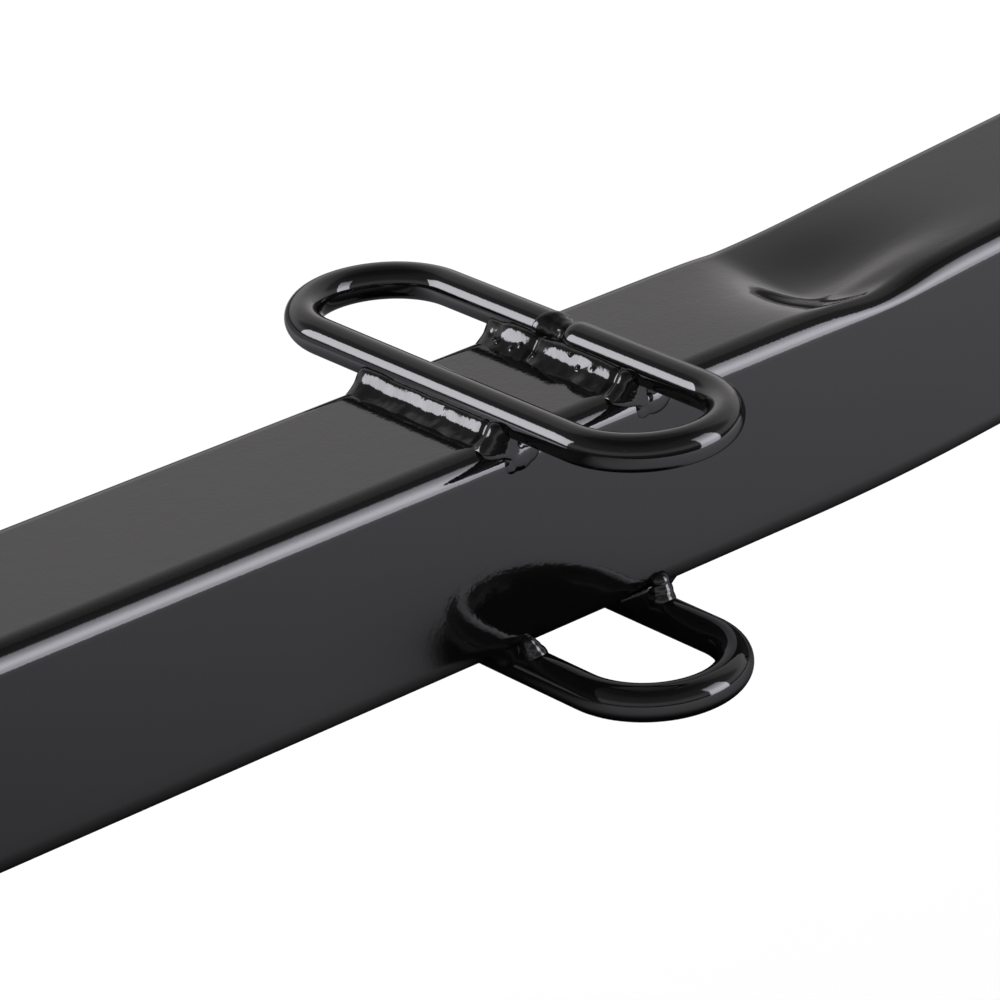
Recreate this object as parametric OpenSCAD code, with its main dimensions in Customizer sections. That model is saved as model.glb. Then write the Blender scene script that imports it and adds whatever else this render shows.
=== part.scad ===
// Hitch extender: a square steel tube that carries a receiver socket further
// back and a little higher, with a chain loop welded across its top and bottom.
// The origin is the centre of the shank's pin hole, on the tube's axis.
// +X runs along the tube towards the receiver, +Z is up.

/* [Main tube] */
// Outside width of the square main tube
tube_w = 50.8; // [48:0.2:60]
// Wall of the main tube
tube_wall = 4.8; // [3:0.1:6.4]
// Outside corner radius of the main tube
tube_corner_r = 5.75; // [4:0.25:8]
// Inside corner radius of the main tube
tube_inner_corner_r = 1.5; // [0.5:0.25:4]

/* [Shank] */
// Diameter of both hitch pin holes
pin_hole_d = 16.7; // [13:0.1:19]
// From the shank's pin hole to its open end
shank_tail = 63.5; // [40:0.5:90]

/* [Bend] */
// From the middle of the chain loops to the middle of the bend
loop_to_bend = 94; // [75:1:140]
// Upward angle of the bend in degrees
bend_angle = 4.4; // [1:0.1:8]
// Centre line radius of the bend
bend_r = 650; // [400:10:900]
// Depth of the dished mark that the press leaves in the top wall
dish_depth = 3.4; // [0:0.1:6]
// How far the dish's deepest place lies before the middle of the bend
dish_before = 10; // [-10:0.5:20]
// Reach of the dish from its deepest place towards the shank
dish_lead = 16; // [8:0.5:30]
// Reach of the dish from its deepest place towards the receiver
dish_trail = 34; // [10:0.5:45]
// How far the tube's top corners sink beside the dish
corner_sink = 0.4; // [0:0.05:1.5]

/* [Chain loops] */
// From the shank's pin hole to the middle of the chain loops
loop_x = 230; // [150:1:320]
// Diameter of the round bar that the loops are bent from
loop_rod_d = 8.6; // [6:0.1:12]
// Overall length of a loop, across the tube
loop_length = 130.5; // [110:0.5:160]
// Overall width of a loop, along the tube
loop_width = 46.2; // [38:0.1:60]
// Distance of the butt weld from the tube's centre plane
butt_y = 6; // [-12:0.5:12]
// Open joint between the loop's two ends
butt_gap = 2.4; // [1:0.1:4]
// Overall width of the butt weld, along the bar
butt_w = 7.4; // [5:0.1:9]
// Height of the butt weld above the bar's surface
butt_bulge = 1.5; // [0.4:0.1:2.5]
// Angle over which the butt weld wraps the free side of the bar
butt_wrap = 154; // [90:2:156]

/* [Loop welds] */
// Reach of a loop weld over the tube, from the bar's middle to its toe
bead_toe = 6.6; // [5:0.1:8]
// Angle up the bar, from its lowest line, to the weld's upper toe
bead_climb = 97; // [70:1:98]
// Bulge of a loop weld between its toes
bead_bulge = 0.9; // [0.2:0.1:1.6]
// How far the loop welds stop short of the tube's side faces
bead_short = 1.2; // [0.5:0.1:8]
// Distance from one weld ripple to the next
bead_pitch = 4; // [3:0.1:6]
// Height of the ripples, as a share of the bulge
ripple = 0.35; // [0:0.05:0.6]

/* [Receiver] */
// From the middle of the bend to the receiver's pin hole, along the rise
rise_length = 286.5; // [230:0.5:420]
// Wall of the receiver tube
receiver_wall = 5.55; // [4:0.05:7]
// Clearance around the square shank that the receiver takes, each side
receiver_fit = 0.8; // [0.3:0.1:1.5]
// Outside corner radius of the receiver tube
receiver_corner_r = 6.5; // [4:0.25:9]
// Inside corner radius of the receiver tube
receiver_inner_corner_r = 2; // [0.5:0.25:3.5]
// Length of the receiver tube
receiver_length = 190; // [170:1:240]
// From the receiver's pin hole to its mouth
mouth_to_pin = 64; // [45:0.5:90]
// How far the main tube reaches into the receiver
tube_overlap = 50; // [25:1:60]

/* [Collar] */
// Wall of the collar around the receiver's mouth
collar_wall = 6.2; // [4:0.1:9]
// Length of the collar
collar_length = 19; // [10:0.5:35]
// Clearance between the collar and the receiver tube, each side
collar_fit = 0.15; // [0.05:0.05:0.4]

/* [Receiver welds] */
// Leg of the welds behind the receiver and behind the collar
seam_leg = 4.8; // [3:0.1:5.2]
// Bulge of those welds between their toes
seam_bulge = 0.8; // [0.2:0.1:1.6]
// How far those welds stop short of the neighbouring faces
seam_short = 2.4; // [1.5:0.1:8]

/* [Hidden] */
$fn = 96;

paint = "#1c1c1e";
weld_paint = "#2a2a2d";

// Overshoot of a cut past the face it opens
past = 1;

// Height of a loop weld's root under the bar, and of every weld off its seat
weld_root = 0.3;
weld_lift = 0.05;

// Steps of a loop weld's seat up the bar, and of a butt weld's around it
bar_seat_steps = 4;
butt_steps = 12;

// The bend's two straight centre lines meet at bend_x
bend_x = loop_x + loop_to_bend;
bend_tangent = bend_r * tan(bend_angle / 2);

// Stations along the rise, counted from where the centre lines meet
mouth_at = rise_length + mouth_to_pin;
receiver_at = mouth_at - receiver_length;
tube_end_at = receiver_at + tube_overlap;
collar_at = mouth_at - collar_length;

receiver_inner_w = tube_w + 2 * receiver_fit;
receiver_w = receiver_inner_w + 2 * receiver_wall;
collar_inner_w = receiver_w + 2 * collar_fit;
collar_w = collar_inner_w + 2 * collar_wall;

// A loop's bars lie half the centre line width either side of its middle
rod_r = loop_rod_d / 2;
bar_x = (loop_width - loop_rod_d) / 2;
bar_half = (loop_length - loop_rod_d) / 2 - bar_x;
seat_z = tube_w / 2 + rod_r;

// Square with round corners, centred
module round_square(w, r) {
  square([w, w - 2 * r], center = true);
  square([w - 2 * r, w], center = true);
  for (sx = [-1, 1], sy = [-1, 1]) {
    translate([sx * (w / 2 - r), sy * (w / 2 - r)]) circle(r);
  }
}

// Square bar along +X from x0 to x1
module square_bar(w, r, x0, x1) {
  translate([x0, 0, 0]) rotate([90, 0, 90]) linear_extrude(x1 - x0) round_square(w, r);
}

// Places children at a station along the rise, turned with it
module on_rise(at) {
  translate([bend_x, 0, 0]) rotate([0, -bend_angle, 0]) translate([at, 0, 0]) children();
}

// Half the bend's length along the centre line, and where it starts
bend_half = bend_r * bend_angle * PI / 360;
bend_start = bend_x - bend_tangent;

// Stations of the tube are lengths along its centre line, 0 in the bend's middle
shank_end = -bend_half - bend_start - shank_tail;
rise_end = bend_half + tube_end_at - bend_tangent;
curved_reach = max(bend_half, dish_before + dish_lead, dish_trail - dish_before) + 1;
curved_steps = 28;
stations = concat(
  [shank_end],
  [for (i = [0:curved_steps]) (2 * i / curved_steps - 1) * curved_reach],
  [rise_end]
);

// Tilt of the centre line at a station
function tilt(s) = bend_angle * min(max(s / bend_half + 1, 0), 2) / 2;

// Place of the centre line at a station: the arc, then what is straight beside it
function route(s) =
  let (a = tilt(s), over = s - min(max(s, -bend_half), bend_half))
    [bend_start + bend_r * sin(a) + over * cos(a), 0, bend_r * (1 - cos(a)) + over * sin(a)];

// A point of the section at a station, u across the tube and v up from its axis
function on_route(s, u, v) = route(s) + [-v * sin(tilt(s)), u, v * cos(tilt(s))];

// Smooth hump: 1 at the middle, 0 with no slope from 1 outwards
function hump(q) = abs(q) < 1 ? pow(1 - q * q, 2) : 0;

// The dish along the tube: a short drop on the shank's side, then a long climb
function dish_along(s) =
  let (d = s + dish_before) hump(d / (d < 0 ? dish_lead : dish_trail));

// The dish across the tube: flat in the middle, with a lip at both corners
function dish_across(u) = max(0, 1 - pow(abs(u) / (tube_w / 2 - tube_corner_r), 4));

function sink(s, u) = dish_along(s) * (corner_sink + dish_depth * dish_across(u));

// Steps across the top face, and around each corner
across_steps = 14;
corner_steps = 8;

// Section at a station: the dished top, then round the other three sides
function section(s, w, r) =
  let (flat = w / 2 - r)
    concat(
      [for (i = [0:across_steps])
        let (u = (2 * i / across_steps - 1) * flat) on_route(s, u, w / 2 - sink(s, u))],
      [for (c = [0:3], i = [(c == 0 ? 1 : 0):(c == 3 ? corner_steps - 1 : corner_steps)])
        let (
          a = 90 - 90 * c - 90 * i / corner_steps,
          mid = [c == 0 || c == 1 ? flat : -flat, c == 0 || c == 3 ? flat : -flat],
          low = max(0, sin(a)) * dish_along(s) * corner_sink
        ) on_route(s, mid[0] + r * cos(a), mid[1] + r * sin(a) - low)]
    );

ring_count = across_steps + 1 + 4 * (corner_steps + 1) - 2;

// Skin between neighbouring rings, as triangles that face outwards
function skin(first, rings, flip) =
  [for (j = [0:rings - 2], i = [0:ring_count - 1])
    let (
      a = first + j * ring_count + i,
      b = first + j * ring_count + (i + 1) % ring_count,
      c = a + ring_count,
      d = b + ring_count
    ) each flip ? [[a, c, b], [b, c, d]] : [[a, b, c], [b, d, c]]];

// Flat end between the outer ring and the inner ring
function rim(outer, inner, flip) =
  [for (i = [0:ring_count - 1])
    let (
      a = outer + i,
      b = outer + (i + 1) % ring_count,
      c = inner + i,
      d = inner + (i + 1) % ring_count
    ) each flip ? [[a, c, b], [b, c, d]] : [[a, b, c], [b, d, c]]];

// The tube's wall, lofted through its stations: outer skin, bore skin, both ends
module bent_tube() {
  rings = len(stations);
  inner_w = tube_w - 2 * tube_wall;
  bore = rings * ring_count;
  last = (rings - 1) * ring_count;
  polyhedron(
    points = concat(
      [for (s = stations) each section(s, tube_w, tube_corner_r)],
      [for (s = stations) each section(s, inner_w, tube_inner_corner_r)]
    ),
    faces = concat(
      skin(0, rings, true),
      skin(bore, rings, false),
      rim(0, bore, false),
      rim(last, bore + last, true)
    ),
    convexity = 6
  );
}

// Hole across the tube for the hitch pin
module pin_hole(w) {
  rotate([90, 0, 0]) cylinder(d = pin_hole_d, h = w + 2 * past, center = true);
}

module main_tube() {
  color(paint) difference() {
    bent_tube();
    pin_hole(tube_w);
  }
}

// One loop, bent from round bar, its ends meeting at the butt weld
module loop_bar() {
  for (sy = [-1, 1]) {
    translate([0, sy * bar_half, 0]) rotate([0, 0, sy > 0 ? 0 : 180])
      rotate_extrude(angle = 180) translate([bar_x, 0]) circle(rod_r);
  }
  bar_run(-bar_x, -bar_half, bar_half);
  bar_run(bar_x, -bar_half, butt_y - butt_gap / 2);
  bar_run(bar_x, butt_y + butt_gap / 2, bar_half);
}

// Straight stretch of the bar along Y
module bar_run(x, y0, y1) {
  translate([x, y0, 0]) rotate([-90, 90, 0]) cylinder(r = rod_r, h = y1 - y0);
}

// Puts a loop's pieces on the top face, or on the bottom face when up is false
module at_loop(up) {
  mirror([0, 0, up ? 0 : 1]) translate([loop_x, 0, seat_z]) children();
}

module upper_chain_loop() {
  color(paint) at_loop(true) loop_bar();
}

module lower_chain_loop() {
  color(paint) at_loop(false) loop_bar();
}

// Section of the butt weld at y, in a frame on the bar's middle. Outside the
// joint its seat follows the bar's surface; inside, it goes round the full disc.
function butt_ring(y, bulge, inside) =
  let (
    half_wrap = butt_wrap / 2,
    n = butt_steps,
    seat_r = rod_r / cos(butt_wrap / n / 2)
  )
    concat(
      [for (i = [0:n])
        let (
          a = inside ? half_wrap + (360 - butt_wrap) * i / n : half_wrap - butt_wrap * i / n,
          r = inside && i > 0 && i < n ? rod_r : seat_r
        ) [r * sin(a), y, r * cos(a)]],
      [for (i = [n - 1:-1:1])
        let (a = half_wrap - butt_wrap * i / n, r = seat_r + bulge * cos(90 * a / half_wrap))
          [r * sin(a), y, r * cos(a)]]
    );

// The butt weld fills the open joint and bulges over the free side of both ends
module butt_weld() {
  joint = butt_gap / 2;
  side = [butt_w / 2, (butt_w / 2 + joint) / 2, joint];
  function swell(y) = butt_bulge * max(0.1, sqrt(1 - pow(2 * y / butt_w, 2)));
  translate([bar_x, butt_y, 0]) weld_loft(concat(
    [for (y = side) butt_ring(-y, swell(y), false)],
    [for (y = [-joint + weld_lift, 0, joint - weld_lift]) butt_ring(y, swell(y), true)],
    [for (i = [2:-1:0]) butt_ring(side[i], swell(side[i]), false)]
  ));
}

module upper_butt_weld() {
  color(weld_paint) at_loop(true) butt_weld();
}

module lower_butt_weld() {
  color(weld_paint) at_loop(false) butt_weld();
}

// Rings of a weld run along y. Its ends thin out over taper, and its ripples
// lean on the bulge. Each ring is [y, size, bulge], with size 0 to 1.
function weld_rings(reach, taper) =
  let (steps = 2 * round(reach / bead_pitch * 2))
    [for (i = [0:steps])
      let (
        y = (2 * i / steps - 1) * reach,
        over = max(0, abs(y) - (reach - taper)) / taper
      ) [y, max(0.25, sqrt(max(0, 1 - over * over))), 1 + ripple * (i % 2 == 0 ? -1 : 1)]];

// How far a square bar's face has dropped at y, where its round corner begins
function corner_drop(y, w, r) =
  let (over = min(max(0, abs(y) - (w / 2 - r)), r)) r - sqrt(r * r - over * over);

// Closed ring of a weld's section: along the seat, then back over the bulge
function weld_ring(y, seat, bulge) =
  let (
    n = len(seat) - 1,
    run = seat[0] - seat[n],
    out = [-run[1], run[0]] / norm(run)
  )
    concat(
      [for (p = seat) [p[0], y, p[1]]],
      [for (i = [n - 1:-1:1])
        let (t = i / n, p = seat[0] * (1 - t) + seat[n] * t + out * bulge * 4 * t * (1 - t))
          [p[0], y, p[1]]]
    );

// Weld lofted through its rings, all with the same number of points
module weld_loft(rings) {
  count = len(rings[0]);
  half = count / 2;
  last = (len(rings) - 1) * count;
  polyhedron(
    points = [for (r = rings) each r],
    faces = concat(
      [for (j = [0:len(rings) - 2], i = [0:count - 1])
        let (a = j * count + i, b = j * count + (i + 1) % count, c = a + count, d = b + count)
          each [[a, b, c], [b, d, c]]],
      [for (i = [0:half - 1])
        let (b = (count - i) % count, c = count - i - 1)
          each [[i, b, c], [i, c, i + 1]]],
      [for (i = [0:half - 1])
        let (b = (count - i) % count, c = count - i - 1)
          each [[last + i, last + c, last + b], [last + i, last + i + 1, last + c]]]
    ),
    convexity = 4
  );
}

// Seat of a loop weld: from its toe on the tube to under the bar, then up the
// bar. drop is how far the tube's face has fallen away, size thins the weld.
function bar_seat(drop, size) =
  let (
    low = acos(1 - weld_root / rod_r),
    high = low + (bead_climb - low) * size,
    out_r = rod_r / cos((bead_climb - low) / bar_seat_steps / 2),
    in_x = out_r * sin(low),
    toe = in_x + (bead_toe - in_x) * size
  )
    concat(
      [[toe, -drop], [in_x, -drop]],
      [for (i = [0:bar_seat_steps])
        let (a = low + (high - low) * i / bar_seat_steps) [out_r * sin(a), rod_r - out_r * cos(a)]]
    );

// Fillet weld beside a bar: bar is -1 for the shank's side and 1 for the
// receiver's side, and side is -1 or 1 for the side of the bar it lies on
module bar_weld(bar, side) {
  translate([bar * bar_x, 0, -rod_r]) mirror([side < 0 ? 1 : 0, 0, 0])
    weld_loft([for (r = weld_rings(tube_w / 2 - bead_short, bead_toe / 2))
      weld_ring(
        r[0],
        bar_seat(corner_drop(r[0], tube_w, tube_corner_r) - weld_lift, r[1]),
        bead_bulge * r[1] * r[2]
      )]);
}

module upper_shank_bar_outer_weld() {
  color(weld_paint) at_loop(true) bar_weld(-1, -1);
}

module upper_shank_bar_inner_weld() {
  color(weld_paint) at_loop(true) bar_weld(-1, 1);
}

module upper_receiver_bar_inner_weld() {
  color(weld_paint) at_loop(true) bar_weld(1, -1);
}

module upper_receiver_bar_outer_weld() {
  color(weld_paint) at_loop(true) bar_weld(1, 1);
}

module lower_shank_bar_outer_weld() {
  color(weld_paint) at_loop(false) bar_weld(-1, -1);
}

module lower_shank_bar_inner_weld() {
  color(weld_paint) at_loop(false) bar_weld(-1, 1);
}

module lower_receiver_bar_inner_weld() {
  color(weld_paint) at_loop(false) bar_weld(1, -1);
}

module lower_receiver_bar_outer_weld() {
  color(weld_paint) at_loop(false) bar_weld(1, 1);
}

module receiver_tube() {
  color(paint) on_rise(0) difference() {
    square_bar(receiver_w, receiver_corner_r, receiver_at, mouth_at);
    square_bar(receiver_inner_w, receiver_inner_corner_r, receiver_at - past, mouth_at + past);
    translate([rise_length, 0, 0]) pin_hole(receiver_w);
  }
}

module receiver_collar() {
  color(paint) on_rise(0) difference() {
    square_bar(collar_w, receiver_corner_r + collar_fit + collar_wall, collar_at, mouth_at);
    square_bar(collar_inner_w, receiver_corner_r + collar_fit, collar_at - past, mouth_at + past);
  }
}

// Weld run on one face of a square bar of width w, along the back edge of the
// wider part that starts at a station. turn is 0 for the top face, 90 for the
// right, 180 for the bottom and 270 for the left.
module seam(at, w, corner, turn) {
  on_rise(at) rotate([turn, 0, 0]) translate([0, 0, w / 2])
    weld_loft([for (r = weld_rings(w / 2 - seam_short, seam_leg))
      let (
        low = weld_lift - corner_drop(r[0], w, corner),
        leg = seam_leg * r[1]
      )
        [for (p = weld_ring(
          r[0],
          [[leg, low], [leg / 2, low], [0, low], [0, low + leg / 2], [0, low + leg]],
          seam_bulge * r[1] * r[2]
        )) [-p[0], p[1], p[2]]]]);
}

module receiver_top_weld() {
  color(weld_paint) seam(receiver_at, tube_w, tube_corner_r, 0);
}

module receiver_left_weld() {
  color(weld_paint) seam(receiver_at, tube_w, tube_corner_r, 90);
}

module receiver_bottom_weld() {
  color(weld_paint) seam(receiver_at, tube_w, tube_corner_r, 180);
}

module receiver_right_weld() {
  color(weld_paint) seam(receiver_at, tube_w, tube_corner_r, 270);
}

module collar_top_weld() {
  color(weld_paint) seam(collar_at, receiver_w, receiver_corner_r, 0);
}

module collar_left_weld() {
  color(weld_paint) seam(collar_at, receiver_w, receiver_corner_r, 90);
}

module collar_bottom_weld() {
  color(weld_paint) seam(collar_at, receiver_w, receiver_corner_r, 180);
}

module collar_right_weld() {
  color(weld_paint) seam(collar_at, receiver_w, receiver_corner_r, 270);
}

main_tube();
upper_chain_loop();
lower_chain_loop();
upper_butt_weld();
lower_butt_weld();
upper_shank_bar_outer_weld();
upper_shank_bar_inner_weld();
upper_receiver_bar_inner_weld();
upper_receiver_bar_outer_weld();
lower_shank_bar_outer_weld();
lower_shank_bar_inner_weld();
lower_receiver_bar_inner_weld();
lower_receiver_bar_outer_weld();
receiver_tube();
receiver_collar();
receiver_top_weld();
receiver_bottom_weld();
receiver_left_weld();
receiver_right_weld();
collar_top_weld();
collar_bottom_weld();
collar_left_weld();
collar_right_weld();
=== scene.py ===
import math
import random
from functools import partial

import bmesh
import bpy
import numpy as np
from mathutils import Matrix, Vector, noise


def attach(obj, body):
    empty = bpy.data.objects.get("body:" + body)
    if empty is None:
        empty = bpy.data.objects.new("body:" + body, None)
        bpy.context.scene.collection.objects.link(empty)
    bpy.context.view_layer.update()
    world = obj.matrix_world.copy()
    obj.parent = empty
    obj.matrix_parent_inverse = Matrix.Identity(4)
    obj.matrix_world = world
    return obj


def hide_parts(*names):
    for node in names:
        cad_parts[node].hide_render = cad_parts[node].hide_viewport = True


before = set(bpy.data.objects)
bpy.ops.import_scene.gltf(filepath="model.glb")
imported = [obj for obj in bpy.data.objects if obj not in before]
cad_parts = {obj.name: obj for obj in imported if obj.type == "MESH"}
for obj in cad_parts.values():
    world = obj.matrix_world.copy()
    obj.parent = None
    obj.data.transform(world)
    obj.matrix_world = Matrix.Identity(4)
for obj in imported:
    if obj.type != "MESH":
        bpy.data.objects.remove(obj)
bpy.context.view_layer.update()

MM = 0.001

# Sizes of the solids, in millimetres
TUBE_W = 50.8
TUBE_WALL = 4.8
TUBE_CORNER = 5.75
TUBE_INNER_CORNER = 1.5
PIN_HOLE = 16.7
SHANK_TAIL = 63.5

LOOP_X = 230.0
LOOP_TO_BEND = 94.0
BEND_X = LOOP_X + LOOP_TO_BEND
BEND_ANGLE = math.radians(4.4)
BEND_R = 650.0
BEND_TANGENT = BEND_R * math.tan(BEND_ANGLE / 2)
BEND_HALF = BEND_R * BEND_ANGLE / 2
BEND_START = BEND_X - BEND_TANGENT

ROD = 8.6
ROD_R = ROD / 2
LOOP_LENGTH = 130.5
LOOP_WIDTH = 46.2
BAR_X = (LOOP_WIDTH - ROD) / 2
BAR_HALF = (LOOP_LENGTH - ROD) / 2 - BAR_X
SEAT_Z = TUBE_W / 2 + ROD_R

RISE = 286.5
MOUTH_TO_PIN = 64.0
RECEIVER_LENGTH = 190.0
RECEIVER_FIT = 0.8
RECEIVER_WALL = 5.55
RECEIVER_CORNER = 6.5
RECEIVER_INNER_CORNER = 2.0
TUBE_OVERLAP = 50.0
MOUTH_AT = RISE + MOUTH_TO_PIN
RECEIVER_AT = MOUTH_AT - RECEIVER_LENGTH
TUBE_END_AT = RECEIVER_AT + TUBE_OVERLAP
RECEIVER_BORE = TUBE_W + 2 * RECEIVER_FIT
RECEIVER_W = RECEIVER_BORE + 2 * RECEIVER_WALL

COLLAR_LENGTH = 19.0
COLLAR_FIT = 0.15
COLLAR_WALL = 6.2
COLLAR_AT = MOUTH_AT - COLLAR_LENGTH
COLLAR_BORE = RECEIVER_W + 2 * COLLAR_FIT
COLLAR_INNER_CORNER = RECEIVER_CORNER + COLLAR_FIT
COLLAR_W = COLLAR_BORE + 2 * COLLAR_WALL

# The dish as the photo shades it: steep before its deepest row, long after it
DISH_DEPTH = 4.9
DISH_BEFORE = 9.0
DISH_LEAD = 10.2
LEAD_TAPER = 0.12
SLOW_LEAD = 18.0
SLOW_SHARE = 0.22
DISH_TRAIL = 28.0
DISH_MIDDLE = -4.0
DISH_BACK = 20.0
DISH_FRONT = 17.5
FRONT_TAPER = 0.1
TAPER_AFTER = 5.0
TAPER_RUN = 30
LIP_AFTER = 4.0
LIP_RUN = 22.0
# The front corner sinks a little too
CORNER_SINK = 1.7
CORNER_FROM = 12.0
CORNER_RUN = 9.0
CORNER_S = 1.0
CORNER_SPAN = 14.0

# Soft ends of the tubes: their radius, and the row that holds the shading
EDGE = 0.7
EDGE_STEPS = 4
SUPPORT = 0.25
PIN_EASE = 0.35
PIN_STEPS = 96
PAST = 2

# Spacing of the main tube's rows, close over the dish
DISH_STEP = 0.9
PLAIN_STEP = 20
STEP_GAP = 4
DISH_ROWS_BEFORE = 40
DISH_ROWS_AFTER = 2.6 * DISH_TRAIL

# Butt joint of a loop: the end on the left is square, the one on the right is round
BUTT_Y = 6.0
BUTT_GAP = 0.6
BUTT_LOW = 0.2
BUTT_ROUND = 3.8
BUTT_SINK = 1.5

ROWS = (("upper", 1), ("lower", -1))


def clamp(v, lo, hi):
    return max(lo, min(hi, v))


def bell(v, width):
    return math.exp(-(v / width) ** 2)


def spread(lo, hi, step):
    """Even places from lo to hi, about a step apart."""
    n = max(1, round((hi - lo) / step))
    return [lo + (hi - lo) * i / n for i in range(n + 1)]


def tilt(s):
    """Slope of the tube at s along it; s is 0 in the middle of the bend."""
    return BEND_ANGLE * clamp(s / BEND_HALF + 1, 0, 2) / 2


def route(s):
    """Centre line of the tube at s, as (x, z)."""
    a = tilt(s)
    over = s - clamp(s, -BEND_HALF, BEND_HALF)
    return (BEND_START + BEND_R * math.sin(a) + over * math.cos(a),
            BEND_R * (1 - math.cos(a)) + over * math.sin(a))


def dish(s, u):
    """How far the upper side has sunk at s along the tube and u across it."""
    d = s + DISH_BEFORE
    if d < 0:
        steep = bell(d, DISH_LEAD - LEAD_TAPER * max(u, 0.0))
        along = (1 - SLOW_SHARE) * steep + SLOW_SHARE * bell(d, SLOW_LEAD)
    else:
        along = bell(d, DISH_TRAIL)
    if u > DISH_MIDDLE:
        across = bell(u - DISH_MIDDLE, DISH_BACK)
    else:
        q = (u - DISH_MIDDLE) / (DISH_FRONT - FRONT_TAPER * clamp(d - TAPER_AFTER, 0, TAPER_RUN))
        across = max(0.0, 1 - q * q) ** (1 + clamp((d - LIP_AFTER) / LIP_RUN, 0, 1))
    edge = clamp((-u - CORNER_FROM) / CORNER_RUN, 0, 1)
    corner = CORNER_SINK * bell(s - CORNER_S, CORNER_SPAN) * edge * edge * (3 - 2 * edge)
    return DISH_DEPTH * along * across + corner


def bent_place(s, u, v, w):
    """Point of the bent tube; its upper side sinks into the dish."""
    top = clamp((v - (w / 2 - TUBE_CORNER)) / TUBE_CORNER, 0, 1)
    x, z = route(s)
    a = tilt(s)
    v -= dish(s, u) * top
    return (x - v * math.sin(a), u, z + v * math.cos(a))


def rise_place(at, u, v, w=0):
    """Point of the rise, at along it from where the centre lines meet; the width
    w is there for tube_shell and pin_cut, and changes nothing."""
    c, s = math.cos(BEND_ANGLE), math.sin(BEND_ANGLE)
    return (BEND_X + at * c - v * s, u, at * s + v * c)


def flat_place(x, y, z, w):
    """Point of the shank, which lies along x; w changes nothing here either."""
    return (x, y, z)


def smooth_shade(mesh):
    mesh.polygons.foreach_set("use_smooth", [True] * len(mesh.polygons))


def new_mesh(name, verts, faces):
    """Smooth object from points in millimetres."""
    mesh = bpy.data.meshes.new(name)
    mesh.from_pydata([(x * MM, y * MM, z * MM) for x, y, z in verts], [], faces)
    mesh.validate()
    smooth_shade(mesh)
    obj = bpy.data.objects.new(name, mesh)
    bpy.context.scene.collection.objects.link(obj)
    return obj


def turned(faces):
    """The same faces, facing the other way."""
    return [f[::-1] for f in faces]


def ring_skin(count, rings, closed=False):
    """Faces between rings of count points; closed joins the last ring to the first."""
    faces = []
    for j in range(rings if closed else rings - 1):
        k = (j + 1) % rings
        for i in range(count):
            n = (i + 1) % count
            faces.append((j * count + i, j * count + n, k * count + n, k * count + i))
    return faces


def capped_skin(count, rings):
    """Faces between rings of count points, and one over each end."""
    first = tuple(range(count))
    last = tuple(range(count * (rings - 1), count * rings))
    return ring_skin(count, rings) + [first[::-1], last]


def baked(obj):
    """Applies the object's modifiers to its mesh."""
    graph = bpy.context.evaluated_depsgraph_get()
    done = bpy.data.meshes.new_from_object(obj.evaluated_get(graph))
    obj.modifiers.clear()
    old = obj.data
    obj.data = done
    bpy.data.meshes.remove(old)


def face_outwards(mesh):
    """Turns a closed mesh that came out inside out."""
    body = bmesh.new()
    body.from_mesh(mesh)
    inside_out = body.calc_volume(signed=True) < 0
    body.free()
    if inside_out:
        mesh.flip_normals()


def crisp(obj, degrees=35):
    """Smooth faces, with a sharp line wherever two faces meet at a real edge."""
    obj.data.set_sharp_from_angle(angle=math.radians(degrees))


# The tubes

def section(w, r, flats, arcs):
    """Ring of (u, v) round a square with round corners, with flats pieces on
    each side and arcs pieces on each corner."""
    flat = w / 2 - r
    side = [-flat, -flat + SUPPORT]
    side += [(2 * i / flats - 1) * (flat - SUPPORT) for i in range(1, flats)]
    side += [flat - SUPPORT]
    ring = []
    for c in range(4):
        turn = math.radians(-90 * c)
        cs, sn = math.cos(turn), math.sin(turn)
        for q in side:
            ring.append((q * cs + w / 2 * -sn, q * sn + w / 2 * cs))
        for i in range(arcs):
            a = math.radians(90 - 90 * i / arcs)
            p, q = flat + r * math.cos(a), flat + r * math.sin(a)
            ring.append((p * cs - q * sn, p * sn + q * cs))
    return ring


def tube_shell(name, place, outer, inner, stations, flats=8, arcs=12):
    """Square tube as one closed skin: outside, soft end, bore, soft end.
    outer and inner are (width, corner radius)."""
    first, last = stations[0], stations[-1]
    middle = [s for s in stations if first + EDGE < s < last - EDGE]
    turn = [math.radians(90 * i / EDGE_STEPS) for i in range(EDGE_STEPS + 1)]
    soft = [(EDGE * (1 - math.sin(a)), EDGE * (1 - math.cos(a))) for a in turn]
    rings = []

    def ring(s, w, r):
        rings.append([place(s, u, v, w) for u, v in section(w, r, flats, arcs)])

    for back, inset in reversed(soft):
        ring(first + back, outer[0] - 2 * inset, outer[1] - inset)
    ring(first + EDGE + SUPPORT, *outer)
    for s in middle:
        ring(s, *outer)
    ring(last - EDGE - SUPPORT, *outer)
    for back, inset in soft:
        ring(last - back, outer[0] - 2 * inset, outer[1] - inset)
    for back, inset in reversed(soft):
        ring(last - back, inner[0] + 2 * inset, inner[1] + inset)
    ring(last - EDGE - SUPPORT, *inner)
    for s in reversed(middle):
        ring(s, *inner)
    ring(first + EDGE + SUPPORT, *inner)
    for back, inset in soft:
        ring(first + back, inner[0] + 2 * inset, inner[1] + inset)
    faces = ring_skin(len(rings[0]), len(rings), closed=True)
    return new_mesh(name, [p for r in rings for p in r], faces)


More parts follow.
